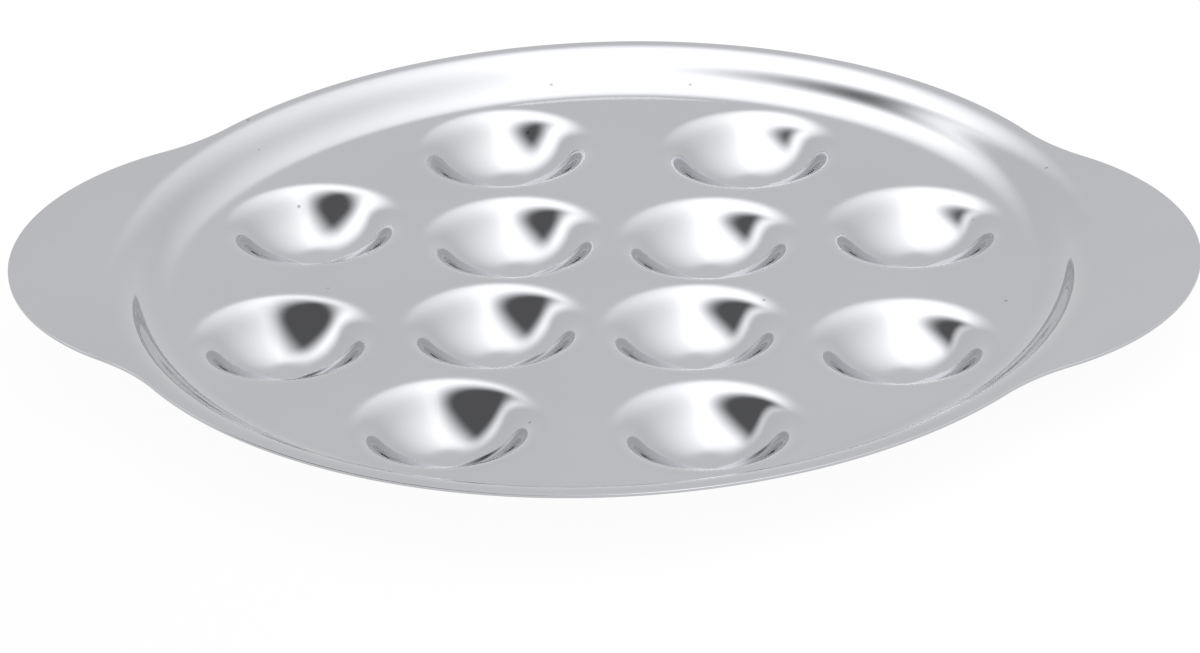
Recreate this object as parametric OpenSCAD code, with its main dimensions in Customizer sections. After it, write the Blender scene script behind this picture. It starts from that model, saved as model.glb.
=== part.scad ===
// Escargot plate pressed from one sheet of polished steel: a shallow round well with
// cups for snail shells, a curved wall, a rolled rim and two level handles.
// Each formed region of the sheet is a solid of its own, and the regions meet edge to edge.
// Millimetres. The origin is under the middle of the plate, on the surface it stands on.
// X runs along the handles and Z points up.

/* [Sheet] */
// Thickness of the sheet
sheet_t = 0.6; // [0.4:0.1:1.2]

/* [Cups] */
// Diameter of a cup where its shoulder leaves the floor
cup_d = 38; // [34:0.5:44]
// Depth of a cup below the floor
cup_depth = 7.4; // [6:0.1:10]
// Radius of a cup's rounded shoulder
cup_shoulder_r = 6.2; // [4:0.1:10]
// Diameter of the flat at the bottom of a cup, on which the plate stands
cup_flat_d = 4.5; // [2:0.5:8]

/* [Layout] */
// Floor left between the lips of neighbouring inner cups
inner_gap = 1; // [0.5:0.1:6]
// Floor left between the lips of an inner cup and its two nearest outer cups
ring_gap = 3.3; // [1:0.1:10]
// Floor left between the lips of the outer cups and the foot of the wall
edge_gap = 1; // [0.1:0.1:5]

/* [Wall and rim] */
// Height of the rim above the floor
well_h = 6; // [4:0.1:9]
// Width of the wall's S curve, from the floor to the flat edge
wall_w = 13; // [11:0.1:20]
// Radius of the bend at the top of the wall
rim_bend_r = 8; // [5:0.1:11]
// Width of the flat edge outside the bend
rim_edge_w = 1.6; // [0.5:0.1:6]

/* [Handles] */
// Distance that a handle stands out past the rim's circle
handle_out = 18; // [12:0.5:28]
// Radius of a handle's rounded tip
handle_tip_r = 55.3; // [48:0.1:62]
// Radius of the hollow curve between a handle and the rim
handle_root_r = 45; // [25:1:65]

/* [Hidden] */
$fn = 120;
inner_count = 4;
outer_count = 8;
full_turn = 360;
// Small lap, in degrees, that makes a cup's shoulder and bowl one solid
join_lap = 0.05;
steel = "silver";

// Heights of the upper faces
floor_z = sheet_t + cup_depth;
rim_z = floor_z + well_h;

// Cup section: a rounded shoulder that turns into a round bowl at its steepest slope
lip_r = cup_d / 2;
cup_flat_r = cup_flat_d / 2;
cup_slope = 2 * atan(cup_depth / (lip_r - cup_flat_r));
bowl_r = (lip_r - cup_flat_r) / sin(cup_slope) - cup_shoulder_r;

// Cups stand on two circles, and each outer cup is half an outer step from an inner one
outer_half_step = full_turn / outer_count / 2;
inner_ring_r = (cup_d + inner_gap) / (2 * sin(full_turn / inner_count / 2));
outer_ring_r = inner_ring_r * cos(outer_half_step)
    + sqrt(pow(cup_d + ring_gap, 2) - pow(inner_ring_r * sin(outer_half_step), 2));

// Wall section: a hollow foot that turns into the rim's bend at its steepest slope
floor_r = outer_ring_r + lip_r + edge_gap;
wall_slope = 2 * atan(well_h / wall_w);
foot_r = wall_w / sin(wall_slope) - rim_bend_r;
edge_r = floor_r + wall_w;
rim_r = edge_r + rim_edge_w;

// Handle outline: the root circle touches both the rim's circle and the tip circle
tip_x = rim_r + handle_out - handle_tip_r;
root_reach = rim_r + handle_root_r;
root_x = (pow(root_reach, 2) - pow(handle_tip_r + handle_root_r, 2) + pow(tip_x, 2)) / (2 * tip_x);
root_y = sqrt(pow(root_reach, 2) - pow(root_x, 2));

// Part of a ring between two angles less than a right angle apart
module arc_band(r_in, r_out, from, to) {
    reach = 2 * r_out;
    intersection() {
        difference() {
            circle(r = r_out);
            circle(r = r_in);
        }
        polygon([[0, 0], reach * [cos(from), sin(from)], reach * [cos(to), sin(to)]]);
    }
}

// Sheet over a bend that is round on its upper side, from level to the given slope
module convex_bend(r, top, bend_r, slope) {
    translate([r, top - bend_r]) arc_band(bend_r - sheet_t, bend_r, 90, 90 + slope);
}

// Sheet over a bend that is hollow on its upper side, from level to the given slope
module hollow_bend(r, top, bend_r, slope) {
    translate([r, top + bend_r]) arc_band(bend_r, bend_r + sheet_t, 270, 270 + slope);
}

module cup() {
    color(steel) union() {
        rotate_extrude() convex_bend(lip_r, floor_z, cup_shoulder_r, cup_slope + join_lap);
        rotate_extrude() hollow_bend(cup_flat_r, sheet_t, bowl_r, cup_slope);
        cylinder(r = cup_flat_r, h = sheet_t);
    }
}

// Places its children at one cup of the inner or the outer circle
module at_inner_cup(i) {
    step = full_turn / inner_count;
    rotate((i - 0.5) * step) translate([inner_ring_r, 0]) children();
}

module at_outer_cup(i) {
    step = full_turn / outer_count;
    rotate((i - 0.5) * step) translate([outer_ring_r, 0]) children();
}

module well_floor() {
    color(steel) translate([0, 0, floor_z - sheet_t]) linear_extrude(sheet_t) difference() {
        circle(r = floor_r);
        for (i = [1:inner_count]) at_inner_cup(i) circle(r = lip_r);
        for (i = [1:outer_count]) at_outer_cup(i) circle(r = lip_r);
    }
}

module well_wall() {
    color(steel) rotate_extrude() hollow_bend(floor_r, floor_z, foot_r, wall_slope);
}

// Sector of the rim's flat edge that belongs to the handle on the right
module handle_sector() {
    polygon([[0, 0], [root_x, root_y], [root_x, -root_y]]);
}

module rim() {
    color(steel) {
        rotate_extrude() convex_bend(edge_r, rim_z, rim_bend_r, wall_slope);
        translate([0, 0, rim_z - sheet_t]) linear_extrude(sheet_t) difference() {
            circle(r = rim_r);
            circle(r = edge_r);
            handle_sector();
            mirror([1, 0]) handle_sector();
        }
    }
}

// Rounded end of the right handle, between the lines to its two root circles
module handle_tip() {
    intersection() {
        translate([tip_x, 0]) circle(r = handle_tip_r);
        polygon([
            [tip_x, 0], [root_x, root_y], [root_x + handle_root_r, root_y],
            [root_x + handle_root_r, -root_y], [root_x, -root_y]
        ]);
    }
}

// Root of the right handle, which the root circles hollow out on both sides
module handle_root() {
    difference() {
        polygon([[0, 0], [root_x, root_y], [tip_x, 0], [root_x, -root_y]]);
        for (side = [-1, 1]) translate([root_x, side * root_y]) circle(r = handle_root_r);
    }
}

module handle() {
    color(steel) translate([0, 0, rim_z - sheet_t]) union() {
        linear_extrude(sheet_t) difference() {
            handle_tip();
            circle(r = edge_r);
        }
        linear_extrude(sheet_t) difference() {
            handle_root();
            circle(r = edge_r);
        }
    }
}

module handle_right() handle();

module handle_left() mirror([1, 0, 0]) handle();

well_floor();
well_wall();
rim();
handle_left();
handle_right();
for (i = [1:inner_count]) {
    at_inner_cup(i) cup();
}
for (i = [1:outer_count]) {
    at_outer_cup(i) cup();
}
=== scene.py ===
"""Escargot plate of mirror-polished steel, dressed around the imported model.

Metres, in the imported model's frame: X runs along the handles, Y points away from the
camera and Z points up from the surface that the plate stands on.
"""
import math
from functools import partial

import bpy
import numpy as np
from mathutils import Matrix, Vector
from mathutils.geometry import delaunay_2d_cdt


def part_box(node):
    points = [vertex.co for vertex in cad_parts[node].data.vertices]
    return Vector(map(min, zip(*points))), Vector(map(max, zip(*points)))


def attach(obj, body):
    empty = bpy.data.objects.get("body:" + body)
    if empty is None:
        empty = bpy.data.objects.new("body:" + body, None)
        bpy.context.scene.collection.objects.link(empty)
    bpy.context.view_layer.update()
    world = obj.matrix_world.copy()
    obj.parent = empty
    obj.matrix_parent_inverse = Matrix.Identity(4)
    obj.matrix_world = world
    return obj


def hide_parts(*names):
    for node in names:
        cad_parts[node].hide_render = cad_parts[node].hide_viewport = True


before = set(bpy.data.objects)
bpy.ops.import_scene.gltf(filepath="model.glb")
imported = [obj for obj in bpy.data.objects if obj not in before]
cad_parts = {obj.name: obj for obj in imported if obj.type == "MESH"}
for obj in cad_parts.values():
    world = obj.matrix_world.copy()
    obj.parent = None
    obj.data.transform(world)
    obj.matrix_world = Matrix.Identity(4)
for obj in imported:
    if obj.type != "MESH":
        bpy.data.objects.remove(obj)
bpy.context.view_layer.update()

MM = 0.001

# Sizes that the frame gives
FLOOR_LOW, FLOOR_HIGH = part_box("well_floor")
RIM_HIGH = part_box("rim")[1]
HANDLE_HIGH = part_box("handle_right")[1]
CUP_NODES = sorted(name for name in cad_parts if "_cup_" in name)
CUP_CENTRES = {name: np.array(sum(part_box(name), Vector()) / 2)[:2] for name in CUP_NODES}
CUP_LOW, CUP_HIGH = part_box(CUP_NODES[0])
SHEET_T = FLOOR_HIGH.z - FLOOR_LOW.z
FLOOR_Z = FLOOR_HIGH.z
RIM_Z = RIM_HIGH.z
FLOOR_R = FLOOR_HIGH.x
RIM_R = RIM_HIGH.y
HANDLE_R = HANDLE_HIGH.x
LIP_R = (CUP_HIGH.x - CUP_LOW.x) / 2
CUP_DEPTH = FLOOR_Z - SHEET_T - CUP_LOW.z
WELL_H = RIM_Z - FLOOR_Z

# Sizes of the pressed shapes, as in the part's source
CUP_SHOULDER_R = 6.2 * MM
CUP_FLAT_R = 2.25 * MM
RIM_BEND_R = 8 * MM
RIM_EDGE_W = 1.6 * MM
HANDLE_TIP_R = 55.3 * MM
HANDLE_ROOT_R = 45 * MM
EDGE_R = RIM_R - RIM_EDGE_W

# Finish of the sheet: the rounding of its cut edge, and how far each bend is eased to both sides
CUT_EDGE_R = 0.14 * MM
CUP_EASE = 2.3 * MM
WALL_EASE = 1.8 * MM

# Mesh density
CUP_STEPS = 128
CUP_RINGS = 36
HANDLE_STEPS = 110
RIM_STEPS = 170
WALL_RINGS = 20
BEND_RINGS = 20
EDGE_RINGS = 10
CUT_STEPS = 4
FLOOR_PITCH = 1.6 * MM
FLOOR_LINE_PITCH = FLOOR_PITCH * math.sqrt(3) / 2
LIP_RINGS = (0.35 * MM, 0.8 * MM, 1.4 * MM, 2.2 * MM)
LEAST_ROOM = 0.15 * MM
SECTION_STEP = 0.01 * MM

# Slack for rounding, and the output type with which Blender fills the whole hull with triangles
SLACK = 1e-9
WHOLE_HULL = 0

# Camera, fitted to the photograph
IMAGE_W = 1200
SENSOR_W = 36
FOCAL_PX = 7542
CAMERA_AT = Vector((0.13426, -1.32598, FLOOR_Z + 0.67009))
CAMERA_ELEVATION = math.radians(27.03)
CAMERA_AZIMUTH = math.radians(5.822)
CAMERA_ROLL = math.radians(-2.303)


class Section:
    """Height and slope of a round pressed shape along its radius."""

    def __init__(self, reach, height_at, ease):
        """Samples height_at(radius) out to reach and eases its bends over a width of 2 * ease."""
        count = int(round((reach + ease) / SECTION_STEP))
        radius = np.arange(-count, count + 1) * SECTION_STEP
        half = int(round(ease / SECTION_STEP))
        window = np.hanning(2 * half + 1)
        padded = np.pad(height_at(np.abs(radius)), half, mode="edge")
        self.radius = radius
        self.heights = np.convolve(padded, window / window.sum(), mode="valid")
        self.slopes = np.gradient(self.heights, SECTION_STEP)

    def height(self, radius):
        return np.interp(radius, self.radius, self.heights)

    def slope(self, radius):
        return np.interp(radius, self.radius, self.slopes)


def s_curve(x, run, height, first_r):
    """Height along a curve of two arcs, level at 0 and at run. The first has radius first_r."""
    steepest = 2 * math.atan(height / run)
    second_r = run / math.sin(steepest) - first_r
    turn = first_r * math.sin(steepest)
    x = np.clip(x, 0, run)
    first = first_r - np.sqrt(first_r ** 2 - np.minimum(x, turn) ** 2)
    second = height - second_r + np.sqrt(second_r ** 2 - np.minimum(run - x, run - turn) ** 2)
    return np.where(x < turn, first, second)


def cup_depth(radius):
    """Depth of a cup below the floor, before its bends are eased."""
    return s_curve(LIP_R - radius, LIP_R - CUP_FLAT_R, CUP_DEPTH, CUP_SHOULDER_R)


WALL_RUN = EDGE_R - FLOOR_R
WALL_STEEPEST = 2 * math.atan(WELL_H / WALL_RUN)
WALL_FOOT_R = WALL_RUN / math.sin(WALL_STEEPEST) - RIM_BEND_R
WALL_TURN_R = FLOOR_R + WALL_FOOT_R * math.sin(WALL_STEEPEST)


def wall_rise(radius):
    """Height of the wall and the rim above the floor, before their bends are eased."""
    return s_curve(radius - FLOOR_R, WALL_RUN, WELL_H, WALL_FOOT_R)


CUP = Section(LIP_R, cup_depth, CUP_EASE)
WALL = Section(HANDLE_R, wall_rise, WALL_EASE)


def upper_face(plan):
    """Points and unit normals of the sheet's upper face over points in plan."""
    def away(centre):
        offset = plan - centre
        radius = np.linalg.norm(offset, axis=1)
        return radius, offset / np.maximum(radius, SECTION_STEP)[:, None]

    radius, outward = away(np.zeros(2))
    height = FLOOR_Z + WALL.height(radius)
    gradient = WALL.slope(radius)[:, None] * outward
    for centre in CUP_CENTRES.values():
        radius, outward = away(centre)
        height -= CUP.height(radius)
        gradient -= CUP.slope(radius)[:, None] * outward
    normals = np.column_stack([-gradient, np.ones(len(plan))])
    normals /= np.linalg.norm(normals, axis=1)[:, None]
    return np.column_stack([plan, height]), normals


def polar(radius, angle):
    """Points in plan at a radius and at angles round the origin."""
    return np.column_stack([radius * np.cos(angle), radius * np.sin(angle)])


def handle_circles():
    """Centre of a right handle's tip circle and of its upper root circle."""
    tip = np.array([HANDLE_R - HANDLE_TIP_R, 0])
    reach = RIM_R + HANDLE_ROOT_R
    root_x = (reach ** 2 - (HANDLE_TIP_R + HANDLE_ROOT_R) ** 2 + tip[0] ** 2) / (2 * tip[0])
    return tip, np.array([root_x, math.sqrt(reach ** 2 - root_x ** 2)])


TIP, ROOT = handle_circles()
SECTOR = math.atan2(ROOT[1], ROOT[0])


def ray_to_circle(direction, centre, radius, far):
    """Distance from the origin along unit directions to the near or far side of a circle."""
    along = direction @ centre
    half = np.sqrt(np.maximum(radius ** 2 - (centre @ centre - along ** 2), 0))
    return along + half if far else along - half


def outline(angle):
    """Points of the plate's outline at polar angles, and its outward normals."""
    sign_x = np.where(np.cos(angle) < 0, -1, 1)
    sign_y = np.where(np.sin(angle) < 0, -1, 1)
    sign = np.column_stack([sign_x, sign_y])
    first = polar(1, angle) * sign
    bearing = np.arctan2(first[:, 1], first[:, 0])
    joint = TIP + (ROOT - TIP) * HANDLE_TIP_R / (HANDLE_TIP_R + HANDLE_ROOT_R)
    on_tip = bearing < math.atan2(joint[1], joint[0])
    on_rim = bearing >= SECTOR - SLACK
    radius = np.where(on_tip, ray_to_circle(first, TIP, HANDLE_TIP_R, True),
                      ray_to_circle(first, ROOT, HANDLE_ROOT_R, False))
    radius = np.where(on_rim, RIM_R, radius)
    point = first * radius[:, None]
    normal = np.where(on_tip[:, None], point - TIP, ROOT - point)
    normal = np.where(on_rim[:, None], first, normal)
    normal /= np.linalg.norm(normal, axis=1)[:, None]
    return point * sign, normal * sign


class SheetBuilder:
    """Collects plan points and faces, then closes them into a piece of sheet."""

    def __init__(self):
        self.plan = []
        self.faces = []
        self.trim = {}
        self.count = 0

    def add_points(self, plan):
        """Adds points in plan and returns their indices."""
        start = self.count
        self.plan.append(np.asarray(plan))
        self.count += len(plan)
        return start + np.arange(len(plan))

    def add_rows(self, rows, closed):
        """Quads between rows of point indices that run anticlockwise, from the inside outwards."""
        for inner, outer in zip(rows, rows[1:]):
            quads = np.column_stack([inner, outer, np.roll(outer, -1), np.roll(inner, -1)])
            self.faces += [tuple(quad) for quad in (quads if closed else quads[:-1]).tolist()]

    def add_trim(self, row, normals):
        """Marks points as lying on the plate's cut edge, with its outward normals."""
        self.trim.update(zip(row.tolist(), normals))

    def finish(self, name, material):
        """Builds the closed mesh: upper face, lower face, cut edge and the walls at the seams."""
        upper, normals = upper_face(np.concatenate(self.plan))
        count = len(upper)
        faces, corners = [], []

        def add(face, corner_normals):
            faces.append(tuple(face))
            corners.extend(corner_normals)

        for face in self.faces:
            add(face, normals[list(face)])
            back = face[::-1]
            add([i + count for i in back], -normals[list(back)])

        cut, cut_points = self.cut_rings(upper)
        for a, b in self.boundary():
            if a in cut and b in cut:
                for strip in zip(cut[a], cut[a][1:], cut[b][1:], cut[b]):
                    add(*zip(*strip))
            else:
                wall = (a, a + count, b + count, b)
                flat = np.cross(upper[b] - upper[a], normals[a])
                add(wall, [flat / np.linalg.norm(flat)] * len(wall))
        points = np.concatenate([upper, upper - SHEET_T * normals, cut_points])
        return make_object(name, points, faces, corners, material)

    def cut_rings(self, upper):
        """Rounds the cut edge: pairs of (index, normal) from top to bottom at each trim point."""
        quarter = np.linspace(0, math.pi / 2, CUT_STEPS + 1)
        bends = ((RIM_Z - CUT_EDGE_R, quarter[1:]),
                 (RIM_Z - SHEET_T + CUT_EDGE_R, quarter[:-1] + math.pi / 2))
        count = len(upper)
        points, rings = [], {}
        for index, outward in self.trim.items():
            ring = [(index, (0, 0, 1))]
            for centre_z, angles in bends:
                centre = np.array([*upper[index][:2], centre_z])
                for angle in angles:
                    normal = np.array([*(outward * math.sin(angle)), math.cos(angle)])
                    ring.append((2 * count + len(points), normal))
                    points.append(centre + CUT_EDGE_R * normal)
            rings[index] = ring + [(index + count, (0, 0, -1))]
        return rings, np.reshape(points, (-1, 3))

    def boundary(self):
        """Directed edges that only one face uses."""
        edges = set()
        for face in self.faces:
            for a, b in zip(face, face[1:] + face[:1]):
                if (b, a) in edges:
                    edges.remove((b, a))
                else:
                    edges.add((a, b))
        return sorted(edges)


def make_object(name, points, faces, corner_normals, material):
    """Smooth mesh object with a normal for each corner of its faces."""
    mesh = bpy.data.meshes.new(name)
    mesh.from_pydata(points.tolist(), [], faces, shade_flat=False)
    mesh.normals_split_custom_set([tuple(n) for n in corner_normals])
    mesh.materials.append(material)
    piece = bpy.data.objects.new(name, mesh)
    bpy.context.scene.collection.objects.link(piece)
    return piece


def turn_angles():
    """Angles round the plate, split so that the handles' sides fall on them."""
    right = np.linspace(-SECTOR, SECTOR, HANDLE_STEPS, endpoint=False)
    far = np.linspace(SECTOR, math.pi - SECTOR, RIM_STEPS, endpoint=False)
    return np.concatenate([right, far, right + math.pi, far + math.pi])


ANGLES = turn_angles()
CUP_ANGLES = np.arange(CUP_STEPS) * 2 * math.pi / CUP_STEPS


def cup_sheet(centre):
    """Rings of sheet round a cup's middle, out to its lip."""
    sheet = SheetBuilder()
    middle = int(sheet.add_points([centre])[0])
    radii = np.linspace(0, LIP_R, CUP_RINGS + 1)[1:]
    rows = [sheet.add_points(centre + polar(radius, CUP_ANGLES)) for radius in radii]
    first = rows[0].tolist()
    sheet.faces += [(middle, a, b) for a, b in zip(first, first[1:] + first[:1])]
    sheet.add_rows(rows, True)
    return sheet


def clearance(plan):
    """Distance from points to the nearest edge of the floor, less than 0 off the floor."""
    room = FLOOR_R - np.linalg.norm(plan, axis=1)
    for centre in CUP_CENTRES.values():
        room = np.minimum(room, np.linalg.norm(plan - centre, axis=1) - LIP_R)
    return room


def floor_loops(margin):
    """Loops of points on the floor, at a margin from the wall's foot and from each cup's lip."""
    loops = [polar(FLOOR_R - margin, ANGLES)]
    return loops + [centre + polar(LIP_R + margin, CUP_ANGLES) for centre in CUP_CENTRES.values()]


def floor_grid():
    """Points that fill the floor between the lips of the cups and the foot of the wall."""
    columns = np.arange(-FLOOR_R, FLOOR_R, FLOOR_PITCH)
    lines = np.arange(-FLOOR_R, FLOOR_R, FLOOR_LINE_PITCH)
    grid = np.array([(x + FLOOR_PITCH / 2 * (i % 2), y)
                     for i, y in enumerate(lines) for x in columns])
    kept = [grid[clearance(grid) > LIP_RINGS[-1] + LEAST_ROOM]]
    for margin in LIP_RINGS:
        kept += [loop[clearance(loop) > LEAST_ROOM] for loop in floor_loops(margin)]
    return np.concatenate(kept)


def floor_sheet():
    """Triangles between the foot of the wall and the lips of the cups."""
    loops = floor_loops(0)
    edges, start = [], 0
    for loop in loops:
        ring = np.arange(len(loop)) + start
        edges += zip(ring.tolist(), np.roll(ring, -1).tolist())
        start += len(loop)
    plan = np.concatenate(loops + [floor_grid()])
    found = delaunay_2d_cdt([Vector(p) for p in plan.tolist()], edges, [], WHOLE_HULL, SLACK)
    points, triangles = np.array(found[0]), np.array(found[2])
    points[:len(plan)] = plan
    on_floor = clearance(points[triangles].mean(axis=1)) > 0
    sheet = SheetBuilder()
    sheet.add_points(points)
    sheet.faces = [tuple(triangle) for triangle in triangles[on_floor].tolist()]
    return sheet


def wall_sheet():
    """Hollow lower half of the wall, up to its steepest slope."""
    sheet = SheetBuilder()
    radii = np.linspace(FLOOR_R, WALL_TURN_R, WALL_RINGS)
    sheet.add_rows([sheet.add_points(polar(radius, ANGLES)) for radius in radii], True)
    return sheet


def add_edge(sheet, angles, inner_row=None):
    """Flat edge between the wall's bend and the outline, over a stretch of angles."""
    points, normals = outline(angles)
    inside = polar(EDGE_R, angles)
    last = points - CUT_EDGE_R * normals
    rows = [] if inner_row is None else [inner_row]
    for share in np.linspace(0, 1, EDGE_RINGS + 1)[len(rows):]:
        rows.append(sheet.add_points(inside + (last - inside) * share))
    sheet.add_rows(rows, False)
    sheet.add_trim(rows[-1], normals)


def rim_sheet():
    """Rounded upper half of the wall, with the flat edge between the handles."""
    sheet = SheetBuilder()
    radii = np.linspace(WALL_TURN_R, EDGE_R, BEND_RINGS)
    rows = [sheet.add_points(polar(radius, ANGLES)) for radius in radii]
    sheet.add_rows(rows, True)
    for start in (HANDLE_STEPS, 2 * HANDLE_STEPS + RIM_STEPS):
        stretch = np.arange(start, start + RIM_STEPS + 1) % len(ANGLES)
        add_edge(sheet, ANGLES[stretch], rows[-1][stretch])
    return sheet


def handle_sheet(start):
    """Handle whose stretch of ANGLES begins at an index."""
    sheet = SheetBuilder()
    add_edge(sheet, ANGLES[start:start + HANDLE_STEPS + 1])
    return sheet


SHEETS = {
    "well_floor": floor_sheet,
    "well_wall": wall_sheet,
    "rim": rim_sheet,
    "handle_right": partial(handle_sheet, 0),
    "handle_left": partial(handle_sheet, HANDLE_STEPS + RIM_STEPS),
}
SHEETS.update((node, partial(cup_sheet, centre)) for node, centre in CUP_CENTRES.items())


class Nodes:
    """Short calls for building the nodes of a material or of the world."""

    def __init__(self, owner, place="Object"):
        owner.use_nodes = True
        self.owner = owner
        self.tree = owner.node_tree
        self.tree.nodes.clear()
        self.place = self.add("ShaderNodeTexCoord").outputs[place]

    def add(self, kind, **settings):
        """New node; a setting is an attribute of the node or, failing that, one of its inputs."""
        node = self.tree.nodes.new(kind)
        for name, value in settings.items():
            if hasattr(node, name):
                setattr(node, name, value)
            else:
                self.feed(node.inputs[name.replace("_", " ")], value)
        return node

    def feed(self, socket, value):
        """Links an output to an input, or sets the input to a constant."""
        if isinstance(value, bpy.types.NodeSocket):
            self.tree.links.new(value, socket)
        else:
            socket.default_value = value

    def surface(self, shader, output="ShaderNodeOutputMaterial"):
        """Makes a shader the surface and returns the material or the world."""
        self.feed(self.add(output).inputs["Surface"], shader)
        return self.owner

    def mixed_surface(self, share, first, second):
        """Makes the surface from two shaders, with a share of 0 to 1 for the second."""
        mix = self.add("ShaderNodeMixShader", Fac=share)
        for socket, shader in zip(mix.inputs[1:], (first, second)):
            self.feed(socket, shader)
        return self.surface(mix.outputs["Shader"])

    def maths(self, operation, *values):
        node = self.add("ShaderNodeMath", operation=operation)
        for socket, value in zip(node.inputs, values):
            self.feed(socket, value)
        return node.outputs["Value"]

    def ramp(self, value, low, high, at_low=0, at_high=1):
        """Smooth change from at_low to at_high as value goes from low to high."""
        node = self.add("ShaderNodeMapRange", interpolation_type="SMOOTHSTEP", Value=value,
                        From_Min=low, From_Max=high, To_Min=at_low, To_Max=at_high)
        return node.outputs["Result"]

    def position(self):
        node = self.add("ShaderNodeSeparateXYZ", Vector=self.place)
        return node.outputs["X"], node.outputs["Y"], node.outputs["Z"]

    def distance(self, point):
        node = self.add("ShaderNodeVectorMath", operation="DISTANCE")
        self.feed(node.inputs[0], self.place)
        self.feed(node.inputs[1], point)
        return node.outputs["Value"]

    def noise(self, scale, stretch=(1, 1, 1)):
        """Noise with scale lumps per metre, finer along the axes with a larger stretch."""
        place = self.add("ShaderNodeMapping", Vector=self.place, Scale=stretch).outputs["Vector"]
        node = self.add("ShaderNodeTexNoise", Vector=place, Scale=scale, Detail=NOISE_DETAIL)
        return node.outputs["Fac"]


# Steel: tone and roughness vary a little in clouds, with polishing lines along X, a few dark
# specks and slight waves
STEEL_COLOUR = (0.498, 0.502, 0.522)
TONE = (0.985, 1.015)
ROUGHNESS = (0.03, 0.055)
NOISE_DETAIL = 2
CLOUDS_PER_M = 28
CLOUD_RANGE = (0.3, 0.7)
LINES_PER_M = 30
LINE_STRETCH = (1, 60, 60)
LINE_ROUGHNESS = 0.02
SPECKS_PER_M = 70
SPECK_SIZE = (0.02, 0.035)
SPECK_TONE = 0.6
WAVES_PER_M = 55
WAVE_HEIGHT = 0.003 * MM


def steel_material():
    """Mirror-polished stainless sheet."""
    kit = Nodes(bpy.data.materials.new("polished_steel"))
    cloud = kit.noise(CLOUDS_PER_M)
    line = kit.noise(LINES_PER_M, LINE_STRETCH)
    speck = kit.add("ShaderNodeTexVoronoi", Vector=kit.place, Scale=SPECKS_PER_M)
    speck_tone = kit.ramp(speck.outputs["Distance"], *SPECK_SIZE, SPECK_TONE, 1)
    tone = kit.maths("MULTIPLY", kit.ramp(cloud, *CLOUD_RANGE, *TONE), speck_tone)
    colour = kit.add("ShaderNodeVectorMath", operation="SCALE", Scale=tone)
    colour.inputs[0].default_value = STEEL_COLOUR
    cloud_roughness = kit.ramp(cloud, *CLOUD_RANGE, *ROUGHNESS)
    roughness = kit.maths("MULTIPLY_ADD", line, LINE_ROUGHNESS, cloud_roughness)
    bump = kit.add("ShaderNodeBump", Distance=WAVE_HEIGHT, Height=kit.noise(WAVES_PER_M))
    shader = kit.add("ShaderNodeBsdfPrincipled", Metallic=1, Base_Color=colour.outputs["Vector"],
                     Roughness=roughness, Normal=bump.outputs["Normal"])
    return kit.surface(shader.outputs["BSDF"])


def dress():
    """Replaces each node of the frame by its piece of sheet."""
    steel = steel_material()
    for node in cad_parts:
        piece = SHEETS[node]().finish(node + "_sheet", steel)
        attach(piece, "root")
        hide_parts(node)


def make_camera():
    """Camera that sees the plate as the photograph does."""
    back = Vector((math.sin(CAMERA_AZIMUTH) * math.cos(CAMERA_ELEVATION),
                   -math.cos(CAMERA_AZIMUTH) * math.cos(CAMERA_ELEVATION),
                   math.sin(CAMERA_ELEVATION)))
    camera = bpy.data.cameras.new("camera")
    camera.sensor_fit = "HORIZONTAL"
    camera.sensor_width = SENSOR_W
    camera.lens = SENSOR_W * FOCAL_PX / IMAGE_W
    holder = bpy.data.objects.new("camera", camera)
    level = back.to_track_quat("Z", "Y").to_matrix().to_4x4()
    roll = Matrix.Rotation(CAMERA_ROLL, 4, "Z")
    holder.matrix_world = Matrix.Translation(CAMERA_AT) @ level @ roll
    bpy.context.scene.collection.objects.link(holder)
    bpy.context.scene.camera = holder


# Sky: bright overhead and grey all round, with a long fade to the right, the back and the left.
# The fades go by the slopes X / Z and Y / Z of a direction, and the bright part ends at a low Z.
SKY_COLOUR = (1, 1, 1, 1)
GREY_LEVEL = 0.92
WHITE_LEVEL = 2.3
LOW_Z = (0.1, 0.4)
LEAST_Z = 0.03
FADE_TURN = math.radians(11)
FADE_START = 0.12
FADE_LENGTH = 0.5
FADE_POWER = 0.76
FADE_BACK = (0.18, 2.3)
FADE_LEFT = (1.11, 2.42)
LEFT_SLANT = 1.025


def make_world():
    """Sky that depends on the direction alone."""
    world = bpy.data.worlds.new("sky")
    bpy.context.scene.world = world
    kit = Nodes(world, "Generated")
    x, y, z = kit.position()
    rise = kit.maths("MAXIMUM", z, LEAST_Z)
    across, deep = kit.maths("DIVIDE", x, rise), kit.maths("DIVIDE", y, rise)
    turned = kit.maths("MULTIPLY", deep, math.sin(FADE_TURN))
    rightward = kit.maths("MULTIPLY_ADD", across, math.cos(FADE_TURN), turned)
    leftward = kit.maths("MULTIPLY_ADD", across, -LEFT_SLANT, deep)
    past = kit.maths("DIVIDE", kit.maths("SUBTRACT", rightward, FADE_START), FADE_LENGTH)
    faded = kit.maths("POWER", kit.maths("MAXIMUM", past, 0), FADE_POWER)
    bright = kit.maths("EXPONENT", kit.maths("MULTIPLY", faded, -1))
    for fade in (kit.ramp(deep, *FADE_BACK, 1, 0),
                 kit.ramp(leftward, *FADE_LEFT, 1, 0),
                 kit.ramp(z, *LOW_Z)):
        bright = kit.maths("MULTIPLY", bright, fade)
    level = kit.maths("MULTIPLY_ADD", bright, WHITE_LEVEL - GREY_LEVEL, GREY_LEVEL)
    background = kit.add("ShaderNodeBackground", Color=SKY_COLOUR, Strength=level)
    kit.surface(background.outputs["Background"], "ShaderNodeOutputWorld")


# Studio floor
FLOOR_SIZE = 8.0
FLOOR_COLOUR = (0.9, 0.9, 0.9, 1)
FLOOR_WHITENESS = 0.95


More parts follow.
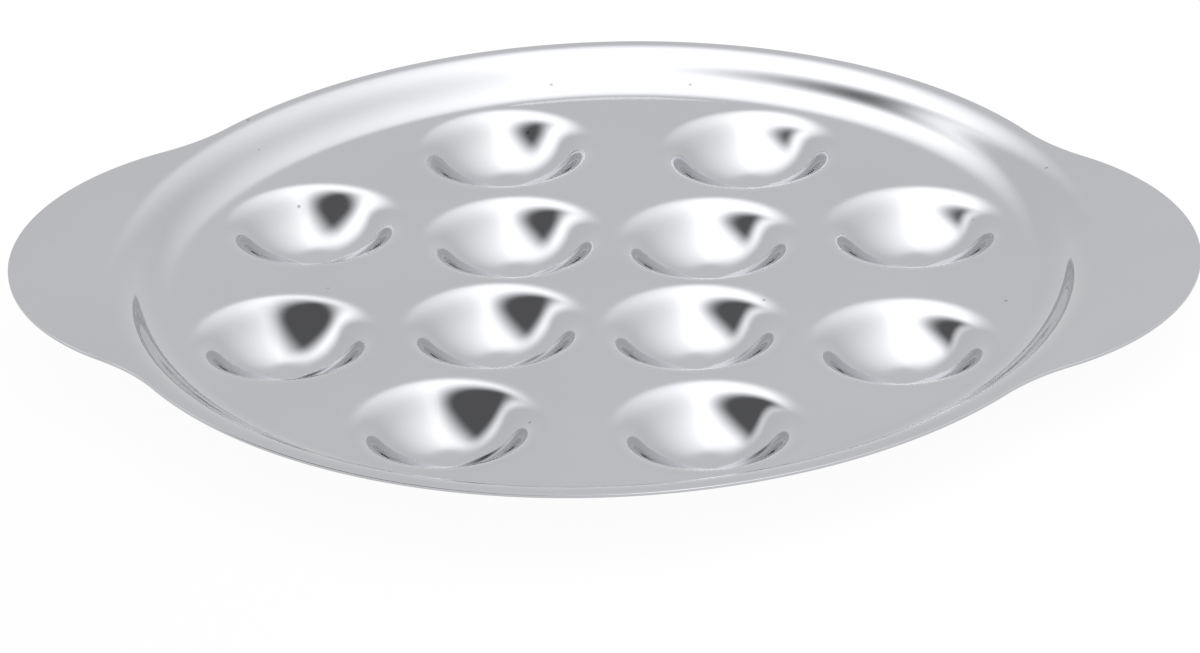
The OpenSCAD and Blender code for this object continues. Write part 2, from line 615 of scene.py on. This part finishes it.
def floor_material():
    """Pale floor that takes the plate's shadow, and is white to the camera and in reflections."""
    kit = Nodes(bpy.data.materials.new("pale_floor"))
    path = kit.add("ShaderNodeLightPath")
    seen = kit.maths("MAXIMUM", path.outputs["Is Camera Ray"], path.outputs["Is Glossy Ray"])
    seen = kit.maths("MAXIMUM", seen, path.outputs["Is Transmission Ray"])
    pale = kit.add("ShaderNodeBsdfDiffuse", Color=FLOOR_COLOUR)
    white = kit.add("ShaderNodeEmission", Strength=1)
    return kit.mixed_surface(kit.maths("MULTIPLY", seen, FLOOR_WHITENESS),
                             pale.outputs["BSDF"], white.outputs["Emission"])


# Dark flag over the left of the plate, with a slanted right-hand edge and a clear circle at the
# back left, both soft
DARK_LEVEL = 0.15
FLAG_Z = 0.2
FLAG_R = 0.531
FLAG_STEPS = 64
FLAG_RIGHT = (-0.107, -0.001)
FLAG_SLANT = 0.435
CLEAR_AT = (-0.43, 0.3275, FLAG_Z)
CLEAR_R = 0.369
CLEAR_SOFT = 0.0556


def flag_material():
    """Dark where the flag is solid, and see-through past its edge and in its clear circle."""
    kit = Nodes(bpy.data.materials.new("dark_flag"))
    x, y, _ = kit.position()
    inside = kit.maths("SUBTRACT", CLEAR_R, kit.distance(CLEAR_AT))
    off_circle = kit.ramp(inside, -CLEAR_SOFT, CLEAR_SOFT, 1, 0)
    left_of_edge = kit.ramp(kit.maths("MULTIPLY_ADD", y, FLAG_SLANT, x), *FLAG_RIGHT, 1, 0)
    clear = kit.add("ShaderNodeBsdfTransparent")
    dark = kit.add("ShaderNodeEmission", Strength=DARK_LEVEL)
    return kit.mixed_surface(kit.maths("MULTIPLY", off_circle, left_of_edge),
                             clear.outputs["BSDF"], dark.outputs["Emission"])


def stage_card(name, points, material, hidden):
    """Flat sheet of the studio. The camera doesn't see a hidden one, and it casts no shadow."""
    mesh = bpy.data.meshes.new(name)
    mesh.from_pydata(points, [], [tuple(range(len(points)))])
    mesh.materials.append(material)
    card = bpy.data.objects.new(name, mesh)
    bpy.context.scene.collection.objects.link(card)
    card.visible_camera = not hidden
    card.visible_shadow = not hidden


def make_stage():
    """Floor under the plate and dark flag over it."""
    half = FLOOR_SIZE / 2
    floor = [(-half, -half, 0), (half, -half, 0), (half, half, 0), (-half, half, 0)]
    stage_card("studio_floor", floor, floor_material(), hidden=False)

    ring = polar(FLAG_R, np.arange(FLAG_STEPS) * 2 * math.pi / FLAG_STEPS)
    flag = [(x, y, FLAG_Z) for x, y in ring.tolist()]
    stage_card("dark_flag", flag, flag_material(), hidden=True)


bpy.context.scene.view_settings.view_transform = "Standard"
dress()
make_camera()
make_world()
make_stage()
